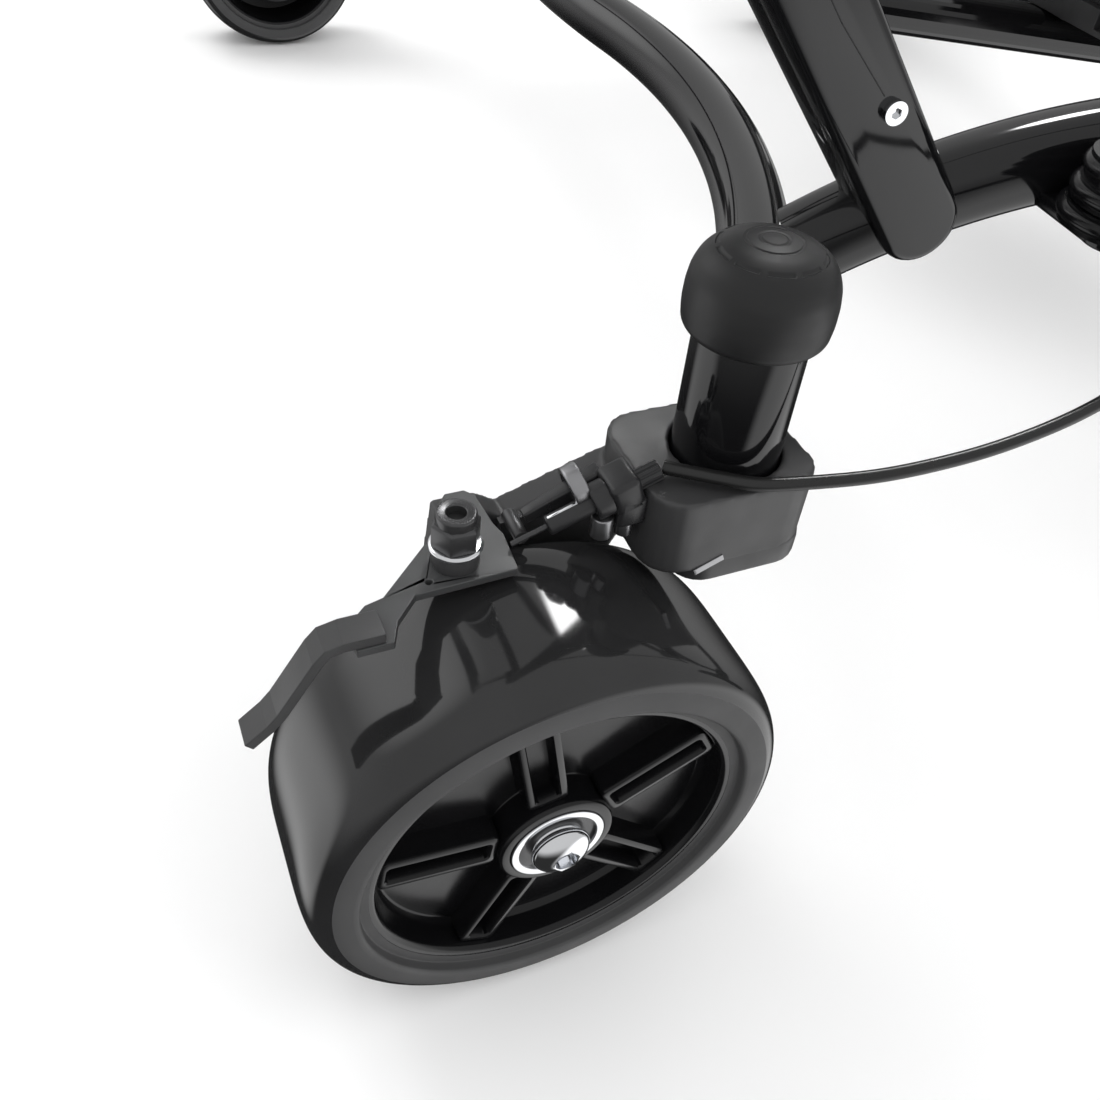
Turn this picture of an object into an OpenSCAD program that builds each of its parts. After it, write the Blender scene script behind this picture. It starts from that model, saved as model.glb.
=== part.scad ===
// Four-wheeled electric golf trolley: two braked caster wheels at the rear, two motor-driven
// wheels in front, a bent tube frame between them and a handle that folds forward.
// +X is the way it travels, +Y its left side, +Z up. The origin is on the ground, in the middle.

/* [Caster] */
// Radius of a caster's tyre
caster_r = 76.2; // [70:0.1:80]
// Width of a caster's tyre
caster_w = 60.8; // [58:0.1:62]
// Steering angle of both casters as they stand
steer = 7.5; // [-20:0.5:20]
// Height of the brake plate's top
plate_z = 157; // [157:0.5:159]

/* [Frame] */
// Distance between the two caster posts
post_span = 875.6; // [840:0.2:900]
// How far the caster posts stand behind the origin
post_back = 98; // [90:1:130]
// Outer diameter of the frame tubes
tube_d = 25.4; // [24:0.1:26]
// Wall of the frame tubes
tube_wall = 2; // [1.5:0.1:3]
// Height of the rear cross tube
cross_z = 190.5; // [190:0.5:196]

/* [Drive] */
// Radius of a drive wheel
drive_r = 135; // [120:1:140]
// Width of a drive wheel's tyre
drive_w = 56; // [40:1:60]
// Distance from the caster posts to the drive axle
axle_ahead = 520; // [500:1:540]
// Distance between the middles of the drive wheels
drive_span = 960; // [950:2:980]

/* [Handle] */
// Height of the grip's middle
grip_z = 885; // [860:1:900]
// How far the grip is behind the caster posts
grip_back = 444; // [430:1:460]

/* [Hidden] */
$fn = 64;

tube_r = tube_d / 2;
run_gap = 0.05;              // radial clearance of a pin in its bore
post_y = post_span / 2;
post_r = 16;
post_foot_z = 160.5;
post_top_z = 214;
trail = [66.8, 34.9];        // from the wheel's middle to its post: ahead, inboard
knuckle_top_z = 172;
kingpin_r = 8;
axle_r = 5;
drum_r = 34;
tyre_near = 21.8;            // from the wheel's middle to the tyre's outboard side
arm_y = 47;                  // outboard side of the knuckle's arm
arm_w = 10;
crank_pivot = [10, 102];     // of the brake crank, ahead and up from the wheel's foot
nut_at = [-18, 28.1];        // of the brake plate's nut
adjuster_at = [37, 27.5, 173.4];
adjuster_pitch = 20.5;

// Rear cross tube, from a post to the middle: a straight, a long bend and a longer counter bend
cross_heading = 27;          // of the straight, ahead from straight across
cross_straight = 60.7;
cross_bend_r = 394;
cross_counter = 11;          // heading of the bend's far end, backwards
cross_start = [cross_straight * sin(cross_heading), -post_y + cross_straight * cos(cross_heading)];
cross_centre = cross_start + cross_bend_r * [-cos(cross_heading), sin(cross_heading)];
cross_end = cross_centre + cross_bend_r * [cos(cross_counter), sin(cross_counter)];
counter_r = -cross_end[1] / sin(cross_counter);
counter_centre = [cross_end[0] + counter_r * cos(cross_counter), 0];

// Side rail: rises from the cross tube, levels out, runs ahead and drops to the drive axle
rail_foot = [38, 358, 179];
rail_pitch = 38;
rail_rise_r = 274;
rail_yaw = 10.5;             // outward, until the level part
rail_rise_run = rail_rise_r * sin(rail_pitch);
rail_z = rail_foot[2] + rail_rise_r * (1 - cos(rail_pitch));
rail_turn_r = 150;
rail_turn = [rail_foot[0] + rail_rise_run * cos(rail_yaw), rail_foot[1] + rail_rise_run * sin(rail_yaw)];
rail_level = rail_turn + rail_turn_r * [sin(rail_yaw), 1 - cos(rail_yaw)];
rail_drop_r = 150;
rail_drop = 45;
rail_end_fall = rail_z - drive_r - rail_drop_r * (1 - cos(rail_drop));
rail_level_end = axle_ahead - rail_drop_r * sin(rail_drop) - rail_end_fall / tan(rail_drop);
rail_w = 24;
rail_h = 28;

// Struts lean back over the casters
lean = 39;
strut_dir = [-sin(lean), 0, cos(lean)];
strut_foot = [80, 366, 214];
strut_len = 330;
strut_top = strut_foot + strut_len * strut_dir;
strut_w = 28;
strut_t = 24;

// Handle frame, in its raised position
fold_pin_r = 5;
fold_y = 336;                // middle of a hinge eye, from the centreline
handle_low = [strut_top[0], fold_y, strut_top[2]];
handle_high = [-385, 150, 815];
handle_grip = [-grip_back, 150, grip_z];
handle_r = 11;
lever_pivot = handle_high + 0.3 * (handle_grip - handle_high);
lever_reach = 55;
lever_gap = 42;              // angle between the lever and the grip, seen from the lever's pivot
grip_angle = atan2(handle_grip[2] - handle_high[2], handle_grip[0] - handle_high[0]);
console_tilt = 10;

drive_y = drive_span / 2;
motor_r = 40;
motor_in = 340;              // inner end of a motor, from the centreline
motor_out = drive_y - drive_w / 2 - 6;
beam_w = 44;
beam_h = 28;
beam_from = [232, 169.1];
beam_to = [axle_ahead, drive_r];
battery_box = [112, 190, 88];
battery_at = [418, -battery_box[1] / 2, 166];
bag_foot = [322, 0, 258];
bag_r = 118;
cradle_s = 300;              // up the struts to the upper cross bar
cradle_ahead = 205;          // from the struts' plane to the middle of the bag

// Cable route from the caster's clamp to the strut: ahead of the post, outboard, up
cable_r = 2;
cable_route = [
    [0, 460, 175.2], [14, 462.7, 176], [33, 464.7, 177.2], [51, 464.9, 179], [69, 464.5, 182],
    [88, 462.6, 186], [105, 459.6, 190.5], [125, 455, 198], [146, 448, 210], [163, 438, 228],
    [171, 427, 252], [166, 416, 278], [148, 407, 302], [116, 399, 324], [76, 393, 340],
    [34, 387, 352], [0, 384, 359], [-26, 381.4, 364], [-42, 377, 366]
];
cable_steps = 4;

// ---- helpers ----

module from_post() {
    translate([-post_back, 0, 0]) children();
}

// Draws its children, which are those of the right side (-Y), on side -1 or +1
module on_side(side) {
    from_post() mirror([0, side > 0 ? 1 : 0, 0]) children();
}

// Frame of a caster: origin on the ground under its wheel, +X ahead, +Y inboard
module at_caster(side) {
    from_post()
        translate([0, side * post_y, 0])
            rotate([0, 0, steer])
                mirror([0, side > 0 ? 1 : 0, 0])
                    translate([-trail[0], -trail[1], 0])
                        children();
}

// Turns +Z to +Y
module along_y() {
    rotate([-90, 0, 0]) children();
}

module pipe(length, r, wall) {
    difference() {
        cylinder(r = r, h = length);
        translate([0, 0, -1]) cylinder(r = r - wall, h = length + 2);
    }
}

module pipe_bend(bend_r, angle, r, wall) {
    rotate_extrude(angle = angle)
        translate([bend_r, 0])
            difference() {
                circle(r);
                circle(r - wall);
            }
}

// A round bar from p to q
module rod(p, q, r) {
    d = q - p;
    translate(p)
        rotate([0, acos(d[2] / norm(d)), atan2(d[1], d[0])])
            cylinder(r = r, h = norm(d));
}

// Outline of a flattened oval: its sides are arcs, wider than they are deep
function oval(w, h, power = 2.8, n = 32) = [
    for (i = [0 : n - 1])
        let (c = cos(360 * i / n), s = sin(360 * i / n))
            [w / 2 * sign(c) * pow(abs(c), 2 / power), h / 2 * sign(s) * pow(abs(s), 2 / power)]
];

module oval_ring(w, h, wall) {
    difference() {
        polygon(oval(w, h));
        polygon(oval(w - 2 * wall, h - 2 * wall));
    }
}

// Outline of a bent strip of metal that follows a path
function ribbon(path, thick) =
    let (
        n = len(path),
        side = [
            for (i = [0 : n - 1])
                let (d = unit(path[min(i + 1, n - 1)] - path[max(i - 1, 0)]))
                    thick / 2 * [-d[1], d[0]]
        ]
    )
    concat([for (i = [0 : n - 1]) path[i] + side[i]], [for (i = [n - 1 : -1 : 0]) path[i] - side[i]]);

// Half section of a tyre: a flat tread with round shoulders, and side walls dished to the rim
function tyre_section(r, half_w, fall, inner_r, power = 5) = concat(
    [for (i = [-15 : 15])
        let (t = sin(6 * i))
            [r - fall + fall * pow(1 - pow(abs(t) * 0.995, power), 1 / power), half_w * t]],
    [[inner_r + 1.6, half_w - 2.2], [inner_r, half_w - 3.4], [inner_r - 2, half_w - 3.4],
     [inner_r - 2, 3.4 - half_w], [inner_r, 3.4 - half_w], [inner_r + 1.6, 2.2 - half_w]]
);

// Upright slab: an outline in X and Z, from y to y + width
module slab(outline, y, width) {
    translate([0, y + width, 0])
        rotate([90, 0, 0])
            linear_extrude(width) polygon(outline);
}

// ---- cable sweep ----

function curve_at(p0, p1, p2, p3, t) = 0.5 * (2 * p1 + (p2 - p0) * t
    + (2 * p0 - 5 * p1 + 4 * p2 - p3) * t * t + (3 * p1 - p0 - 3 * p2 + p3) * t * t * t);

function smooth(points, steps) = let (n = len(points)) [
    for (i = [0 : n - 2], k = [0 : steps - 1])
        curve_at(points[max(i - 1, 0)], points[i], points[i + 1], points[min(i + 2, n - 1)], k / steps),
    points[n - 1]
];

function unit(v) = v / norm(v);

module sweep(points, r, sides = 8) {
    n = len(points);
    rings = [
        for (i = [0 : n - 1])
            let (
                t = unit(points[min(i + 1, n - 1)] - points[max(i - 1, 0)]),
                a = unit(cross(t, [0, 1, 0])),
                b = cross(a, t)
            )
            for (k = [0 : sides - 1])
                points[i] + r * (cos(360 * k / sides) * a + sin(360 * k / sides) * b)
    ];
    faces = concat(
        [[for (k = [0 : sides - 1]) k]],
        [for (i = [0 : n - 2], k = [0 : sides - 1]) let (m = (k + 1) % sides)
            [i * sides + k, (i + 1) * sides + k, (i + 1) * sides + m, i * sides + m]],
        [[for (k = [sides - 1 : -1 : 0]) (n - 1) * sides + k]]
    );
    polyhedron(rings, faces, convexity = 8);
}

// ---- frame ----

module rear_cross_tube() {
    color("#0c0c0d") from_post() translate([0, 0, cross_z]) {
        for (side = [-1, 1]) mirror([0, side > 0 ? 1 : 0, 0]) {
            difference() {
                translate([0, -post_y, 0])
                    rotate([0, 0, -cross_heading])
                        along_y() translate([0, 0, 6]) pipe(cross_straight - 6, tube_r, tube_wall);
                translate([0, -post_y, -30]) cylinder(r = post_r - 0.8, h = 60);
            }
            translate(cross_centre)
                rotate([0, 0, -cross_heading])
                    pipe_bend(cross_bend_r, cross_heading + cross_counter, tube_r, tube_wall);
        }
        translate(counter_centre)
            rotate([0, 0, 180 - cross_counter])
                pipe_bend(counter_r, 2 * cross_counter, tube_r, tube_wall);
    }
}

// A bend of the rail's oval tube about +Z, its tall side up
module rail_bend(bend_r, angle, upright) {
    rotate_extrude(angle = angle)
        translate([bend_r, 0])
            rotate(upright ? 90 : 0)
                oval_ring(rail_w, rail_h, tube_wall);
}

module side_rail(side) {
    color("#101011") on_side(side) {
        translate([rail_foot[0], -rail_foot[1], rail_foot[2]])
            rotate([0, 0, -rail_yaw])
                translate([rail_rise_run, 0, rail_z - rail_foot[2] - rail_rise_r])
                    rotate([90, 0, 0])
                        rotate([0, 0, 90])
                            rail_bend(rail_rise_r, rail_pitch, true);
        translate([rail_turn[0], -rail_turn[1], rail_z])
            rotate([0, 0, -rail_yaw])
                translate([0, rail_turn_r, 0])
                    rotate([0, 0, -90])
                        rail_bend(rail_turn_r, rail_yaw, false);
        translate([rail_level[0], -rail_level[1], rail_z])
            rotate([90, 0, 90])
                linear_extrude(rail_level_end - rail_level[0]) oval_ring(rail_w, rail_h, tube_wall);
        translate([rail_level_end, -rail_level[1], rail_z - rail_drop_r])
            rotate([90, 0, 0]) {
                rotate([0, 0, 90 - rail_drop])
                    rail_bend(rail_drop_r, rail_drop, true);
                rotate([0, 0, 90 - rail_drop])
                    translate([rail_drop_r, 0, 0])
                        rotate([90, 90, 0])
                            linear_extrude(rail_end_fall / sin(rail_drop) - motor_r + 4)
                                oval_ring(rail_w, rail_h, tube_wall);
            }
        knob_bracket();
    }
}

knob_at = [134, -411];
knob_z = 222;

// Ear on the rail's outer side that carries the clamp knob on a stud
module knob_bracket() {
    translate([knob_at[0] - 11, knob_at[1], knob_z - 8])
        cube([22, 42, 5]);
    translate([knob_at[0], knob_at[1], knob_z - 8]) cylinder(r = 11, h = 5);
    translate([knob_at[0], knob_at[1], knob_z - 3]) cylinder(r = 5, h = 16);
}

module rail_knob(side) {
    color("#0a0a0b") on_side(side) translate([knob_at[0], knob_at[1], knob_z - 2.6])
        difference() {
            union() {
                cylinder(r = 17, h = 21);
                for (i = [0 : 2]) translate([0, 0, 7 * i]) ribbed_ring(21 - 1.3 * i);
            }
            translate([0, 0, -1]) cylinder(r = 5 + run_gap, h = 17.4);
        }
}

// One round-edged ring of the knob
module ribbed_ring(r) {
    rotate_extrude() {
        square([r - 2.4, 6.4]);
        square([r - 1.3, 5]);
        translate([r - 2.4, 3.4]) circle(2.4, $fn = 32);
    }
}

module centre_beam() {
    fall = atan2(beam_from[1] - beam_to[1], beam_to[0] - beam_from[0]);
    run = norm(beam_to - beam_from);
    color("#0c0c0d") from_post()
        translate([beam_from[0], 0, beam_from[1]])
            rotate([0, fall, 0])
                translate([2, 0, 0])
                    rotate([90, 0, 90])
                        linear_extrude(run - 16) oval_ring(beam_w, beam_h, tube_wall + 0.5);
}

module drive_axle_tube() {
    color("#0c0c0d") from_post() translate([axle_ahead, -motor_in, drive_r])
        along_y() pipe(2 * motor_in, 19, 2.5);
}

module strut(side) {
    color("#0a0a0b") on_side(side)
        translate([strut_foot[0], -strut_foot[1], strut_foot[2]])
            rotate([0, -lean, 0]) {
                difference() {
                    translate([0, 0, -4]) linear_extrude(strut_len - 8) oval_ring(strut_w, strut_t, 2);
                    strut_screw_hole();
                }
                strut_tongue();
            }
}

// Round-ended flat on the strut's outer side that laps over the rail
module strut_tongue() {
    difference() {
        translate([0, -strut_t / 2 - 4, 0]) {
            translate([-strut_w / 2 + 1, 0, -8]) cube([strut_w - 2, 4, 66]);
            translate([0, 4, -8]) rotate([90, 0, 0]) cylinder(r = strut_w / 2 - 1, h = 4);
        }
        strut_screw_hole();
    }
}

strut_screw_s = 36;

module strut_screw_hole() {
    translate([5, -strut_t, strut_screw_s]) along_y() cylinder(r = 2.5, h = 14);
}

module strut_screws() {
    color("#c8c8ca") for (side = [-1, 1]) on_side(side)
        translate([strut_foot[0], -strut_foot[1], strut_foot[2]])
            rotate([0, -lean, 0])
                translate([5, -strut_t / 2 - 4, strut_screw_s])
                    along_y() difference() {
                        union() {
                            cylinder(r = 2.45, h = 12);
                            translate([0, 0, -2.4]) cylinder(r = 3.6, h = 2.4);
                        }
                        translate([0, 0, -3]) cylinder(r = 1.7, h = 2.2, $fn = 6);
                    }
}

module upper_cross_bar() {
    p = strut_foot + cradle_s * strut_dir;
    reach = strut_foot[1] - strut_t / 2 + 1.5;
    color("#0c0c0d") from_post() translate([p[0], -reach, p[2]])
        along_y() pipe(2 * reach, 11, 2);
}

// Cap on a strut's top with the pin that the handle frame folds about
module fold_collar(side) {
    color("#17171a") on_side(side) translate([strut_top[0], -strut_top[1], strut_top[2]]) {
        rotate([0, -lean, 0]) translate([0, 0, -12]) linear_extrude(10) polygon(oval(34, 30));
        translate([0, 13, 0]) rotate([90, 0, 0]) cylinder(r = 17, h = 28);
        along_y() cylinder(r = fold_pin_r, h = strut_top[1] - fold_y + 12);
        translate([0, strut_top[1] - fold_y + 10.6, 0]) along_y() cylinder(r = 7.5, h = 3);
    }
}

module head_post(side) {
    color("#0b0b0c") from_post() translate([0, side * post_y, 0]) {
        translate([0, 0, post_foot_z]) pipe(post_top_z - post_foot_z, post_r, 2.2);
        for (z = [post_foot_z + 1, post_top_z - 14])
            translate([0, 0, z]) pipe(12, post_r - 2.2, post_r - 2.2 - kingpin_r - run_gap);
    }
}

module post_cap(side) {
    color("#262626") from_post() translate([0, side * post_y, 0])
        rotate_extrude() polygon([
            [post_r + 0.05, 211], [18.8, 211], [20, 213], [20.4, 217], [20.1, 223], [19, 228],
            [17, 231.4], [14, 233.9], [10, 235.6], [5, 236.5], [0, 236.7], [0, post_top_z],
            [post_r + 0.05, post_top_z]
        ]);
}

// A point of a caster's adjuster, s along its axis, as ahead of its post, out from the middle, up
function on_adjuster(side, s) =
    let (
        x = adjuster_at[0] - s * cos(adjuster_pitch) - trail[0],
        y = side * (trail[1] - adjuster_at[1])
    )
    [x * cos(steer) - y * sin(steer), post_y + side * (x * sin(steer) + y * cos(steer)),
     adjuster_at[2] - s * sin(adjuster_pitch)];

module brake_cable(side) {
    first = on_adjuster(side, -5.3);
    route = concat([first, 0.5 * (first + cable_route[0]) + [2, 2, 0.4]], cable_route);
    color("#151515") on_side(side)
        sweep(smooth([for (p = route) [p[0], -p[1], p[2]]], cable_steps), cable_r);
}

// ---- caster ----

// Casting that holds the kingpin and the axle: a block round the post's foot and an arm beside the wheel
module knuckle(side) {
    color("#3c3d3e") at_caster(side) difference() {
        union() {
            knuckle_block();
            knuckle_arm();
            translate([0, 29, caster_r]) along_y() cylinder(r = drum_r - 0.8, h = 9);
            translate([0, 30, caster_r]) along_y() cylinder(r = 14, h = arm_y - 29);
        }
        translate([trail[0], trail[1], post_foot_z - 0.5]) cylinder(r = post_r + 0.6, h = 20);
        translate([trail[0], trail[1], 130]) cylinder(r = kingpin_r, h = 34);
        translate([0, 0, caster_r]) along_y() cylinder(r = axle_r, h = 70);
        translate([crank_pivot[0], arm_y - 2, crank_pivot[1]]) along_y() cylinder(r = 4 + run_gap, h = 20);
    }
    color("#9a9b9c") at_caster(side)
        translate([trail[0], trail[1], 142]) {
            cylinder(r = kingpin_r, h = 68);
            translate([0, 0, -4]) cylinder(r = kingpin_r + 4, h = 6);
        }
}

// Rectangle with round corners, as a list of points
function soft_rect(from, to, r, steps = 5) = [
    for (q = [0 : 3], i = [0 : steps])
        let (
            a = 90 * (q + i / steps),
            c = [q == 0 || q == 3 ? to[0] - r : from[0] + r, q < 2 ? to[1] - r : from[1] + r]
        )
        c + r * [cos(a), sin(a)]
];

module knuckle_block() {
    translate([0, 0, 146])
        linear_extrude(knuckle_top_z - 146) polygon(soft_rect([35.5, 13], [89, 58], 11));
    translate([trail[0], trail[1], 140]) cylinder(r = 16, h = 8);
}

module knuckle_arm() {
    slab([[-16, plate_z - 2.5], [-3, plate_z - 2.5], [4, 150], [38, 162], [60, 162], [60, 144], [44, 134],
          [13, 72], [-13, 72], [-20, 120]], arm_y, arm_w);
    translate([0, arm_y, caster_r]) along_y() cylinder(r = 15, h = arm_w + 2);
}

// Domed socket-head bolt that the wheel turns on
module axle_bolt(side) {
    head_y = 3.2 - tyre_near;
    nut_y = arm_y + arm_w + 2;
    color("#b9babb") at_caster(side) translate([0, 0, caster_r]) {
        difference() {
            along_y() translate([0, 0, head_y])
                rotate_extrude() polygon([
                    [0, -5.6], [3, -5.4], [6, -4.5], [8, -3], [9.2, -1], [9.2, -0.3], [7, -0.3],
                    [7, 0], [0, 0]
                ]);
            translate([0, head_y - 6, 0]) along_y() cylinder(r = 4.5, h = 4, $fn = 6);
        }
        translate([0, head_y, 0]) along_y() cylinder(r = axle_r, h = nut_y - head_y);
        translate([0, nut_y, 0]) along_y() cylinder(r = 8.5, h = 7, $fn = 6);
    }
}

// Plate over the tyre, bolted to the arm's top through its lobe
module brake_plate(side) {
    color("#4a4b4c") at_caster(side) translate([0, 0, plate_z - 2.5]) difference() {
        linear_extrude(2.5) polygon([
            [-20.4, 40.1], [-40.2, 20.8], [-45.5, 19.5], [-52.3, 13.3], [-51.3, 5], [-41.7, 5],
            [-38.8, 11.7], [-32, 18.9], [-3, 19.7], [-1.8, 34], [-3, 39], [-3.6, 52], [-6, 55],
            [-12, 55], [-14.4, 52], [-14.4, 43.5]
        ]);
        translate([nut_at[0], nut_at[1], -1]) cylinder(r = 3, h = 5);
        translate([-27.2, 22.4, -1]) cylinder(r = 1, h = 5);
    }
}

module plate_nut(side) {
    color("#77787a") at_caster(side) translate([nut_at[0], nut_at[1], plate_z]) difference() {
        union() {
            cylinder(r = 6.6, h = 5.2);
            translate([0, 0, 5.2]) cylinder(r = 7.5, h = 1.8);
            translate([0, 0, 7]) cylinder(r = 6.9, h = 7.5, $fn = 6);
            translate([0, 0, 14.5]) cylinder(r = 5.4, h = 3);
            translate([0, 0, -2.5]) cylinder(r = 2.95, h = 2.5);
        }
        translate([0, 0, 8]) cylinder(r = 2.7, h = 12);
    }
}

// Bent strip that keeps grass off the tyre
module scraper(side) {
    path = [
        [-43.6, plate_z + 1.5], [-54.2, plate_z + 1.5], [-58.4, plate_z + 0.6], [-61, plate_z - 2.4],
        [-71.1, 138.9], [-74.1, 135.4], [-80.3, 130.2]
    ];
    color("#262627") at_caster(side) slab(ribbon(path, 3), 5.5, 9);
}

module at_adjuster() {
    translate(adjuster_at) rotate([0, -90 - adjuster_pitch, 0]) children();
}

// Holder for the end of the brake cable, with its ring and a guide tongue
module cable_clamp(side) {
    color("#303132") at_caster(side) {
        at_adjuster() {
            difference() {
                translate([-6, -6, 3]) cube([12, 12, 9]);
                translate([0, 0, 2]) cylinder(r = 3.2, h = 12);
            }
            translate([0, 0, 13]) pipe(4, 6, 2.7);
            translate([0, 0, 12]) pipe(1, 5, 1.7);
        }
        translate([29, 22, 161]) cube([7, 12, 8]);
        translate([26, 33.4, 162]) cube([10, 4, 7]);
        slab([[4, 146], [32, 150], [32, 160], [4, 150.5]], arm_y - 3, 3.4);
    }
}

// Ferrule, threaded barrel and the bare inner wire that pulls the crank
module cable_adjuster(side) {
    color("#1d1e1f") at_caster(side) at_adjuster() {
        difference() {
            translate([0, 0, -4]) cylinder(r = 3.15, h = 35);
            translate([-0.6, -4, 19]) cube([1.2, 3, 10]);
        }
        translate([0, 0, 31]) cylinder(r = 0.8, h = 11);
    }
}

// Crank of the drum brake: the wire pulls its top ahead
module brake_crank(side) {
    top = [3, 155.6];
    d = top - crank_pivot;
    color("#5a5b5d") at_caster(side) {
        translate([crank_pivot[0], 40, crank_pivot[1]])
            rotate([0, -atan2(d[1], d[0]), 0]) {
                translate([0, 0, -3.5]) cube([norm(d), 2.8, 7]);
                along_y() cylinder(r = 7.5, h = 2.8);
            }
        translate([crank_pivot[0], 41, crank_pivot[1]]) along_y() cylinder(r = 4, h = 12);
        translate([top[0], 32, top[1]]) along_y() cylinder(r = 2.2, h = 10.8);
    }
}

module spin_y() {
    along_y() rotate_extrude() children();
}

module caster_rim(side) {
    web_y = -7;
    edge_y = caster_w - tyre_near - 3.9;
    color("#0d0d0d") at_caster(side) translate([0, 0, caster_r]) {
        spin_y() polygon([
            [15, -17.4], [18.2, -17.4], [18.2, web_y], [54, web_y], [55, -17], [57.9, -17.9],
            [57.9, edge_y], [55, edge_y - 0.5], [55, -3], [38, -3], [38, edge_y], [drum_r, edge_y],
            [drum_r, -3], [19, -3], [19, 26], [13.6, 26], [13.6, 17], [6, 17], [6, -8.4], [15, -8.4]
        ]);
        for (i = [0 : 4]) rotate([0, -100 - 72 * i, 0]) rim_spoke(web_y);
    }
}

// A raised spoke with a slot along its top
module rim_spoke(web_y) {
    difference() {
        translate([17, web_y - 8, -6.5]) cube([38, 8.5, 13]);
        translate([21, web_y - 9, -4.4]) cube([31, 7.5, 8.8]);
    }
}

module caster_tyre(side) {
    color("#161617") at_caster(side) translate([0, caster_w / 2 - tyre_near, caster_r])
        spin_y() polygon(tyre_section(caster_r, caster_w / 2, 21, 60));
}

module wheel_bearings(side) {
    color("#d5d6d8") at_caster(side) translate([0, 0, caster_r])
        for (span = [[-18.1, 9.5, 15], [17.1, 8.6, 13.55]])
            translate([0, span[0], 0]) along_y() pipe(span[1], span[2], span[2] - axle_r - run_gap);
}

// ---- drive ----

module at_drive(side) {
    on_side(side) translate([axle_ahead, -drive_y, drive_r]) children();
}

module drive_tyre(side) {
    color("#1b1b1c") at_drive(side)
        spin_y() polygon(tyre_section(drive_r, drive_w / 2, 24, 104, 3.4));
}

module drive_rim(side) {
    color("#111112") at_drive(side) {
        spin_y() polygon([
            [8, -16], [24, -16], [24, -6], [96, -6], [98, -22], [101.9, -24], [101.9, 24],
            [98, 22], [98, 2], [24, 2], [24, 20], [8, 20]
        ]);
        for (i = [0 : 4]) rotate([0, 72 * i + 18, 0])
            difference() {
                translate([23, -17, -10]) cube([75, 12, 20]);
                translate([30, -18, -6]) cube([62, 9, 12]);
            }
        along_y() translate([0, 0, -16]) cylinder(r = 8, h = 76);
    }
}

module hub_cap(side) {
    color("#3a3a3c") at_drive(side)
        spin_y() polygon([[0, -31.3], [7, -30.6], [13, -28], [17.5, -22.6], [20, -16], [0, -16]]);
}

module motor(side) {
    length = motor_out - motor_in;
    color("#141416") on_side(side) translate([axle_ahead, -motor_out, drive_r]) difference() {
        union() {
            along_y() rotate_extrude() polygon([
                [0, 0], [motor_r - 4, 0], [motor_r, 4], [motor_r, 72], [motor_r - 7, 76],
                [motor_r - 7, length - 4], [motor_r - 11, length], [0, length]
            ]);
            for (i = [0 : 2]) translate([0, 80 + 7 * i, 0]) along_y() cylinder(r = motor_r - 3, h = 3.5);
        }
        translate([0, -1, 0]) along_y() cylinder(r = 8 + run_gap, h = 30);
    }
}

// ---- battery and bag ----

module battery_tray() {
    beam_top = 158;
    color("#202022") from_post() {
        translate([battery_at[0] - 6, battery_at[1] - 6, battery_at[2] - 4])
            cube([battery_box[0] + 12, battery_box[1] + 12, 3.6]);
        for (x = [battery_at[0] - 6, battery_at[0] + battery_box[0] + 0.5])
            translate([x, -60, battery_at[2] - 1]) cube([5.5, 120, 12]);
        translate([battery_at[0] + 4, -18, beam_top]) cube([24, 36, battery_at[2] - 3.8 - beam_top]);
    }
}

module battery() {
    color("#2a2b2d") from_post() translate(battery_at) {
        difference() {
            cube(battery_box);
            translate([-1, 20, battery_box[2] - 14]) cube([6, battery_box[1] - 40, 15]);
        }
        translate([battery_box[0] / 2 - 9, 40, battery_box[2]]) cube([18, 14, 14]);
        translate([battery_box[0] / 2 - 9, battery_box[1] - 54, battery_box[2]]) cube([18, 14, 14]);
        translate([battery_box[0] / 2 - 9, 40, battery_box[2] + 14]) cube([18, battery_box[1] - 80, 8]);
    }
}

// Dished base plate that the bag stands on, square to the struts
module bag_base() {
    color("#222224") from_post() {
        translate(bag_foot) rotate([0, -lean, 0]) difference() {
            union() {
                cylinder(r = bag_r - 8, h = 8);
                intersection() {
                    pipe(34, bag_r, 8);
                    translate([0, -bag_r, 0]) cube([bag_r, 2 * bag_r, 40]);
                }
            }
            for (a = [0 : 60 : 300]) rotate([0, 0, a]) translate([60, 0, -1]) cylinder(r = 14, h = 12);
        }
        slab([[242, 170], [268, 166], [300, 243], [268, 216]], -18, 36);
    }
}

// Half ring ahead of the upper cross bar that the bag's upper end lies in
module bag_cradle() {
    p = strut_foot + cradle_s * strut_dir;
    color("#222224") from_post() translate([p[0], 0, p[2]]) rotate([0, -lean, 0]) {
        difference() {
            union() {
                for (side = [-1, 1]) translate([8, side * 70 - 8, -12]) cube([110, 16, 24]);
                translate([cradle_ahead, 0, -15]) cylinder(r = bag_r + 8, h = 30);
            }
            translate([cradle_ahead, 0, -20]) cylinder(r = bag_r, h = 40);
            translate([cradle_ahead + 20, -150, -20]) cube([150, 300, 40]);
        }
    }
}

// ---- handle ----

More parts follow.
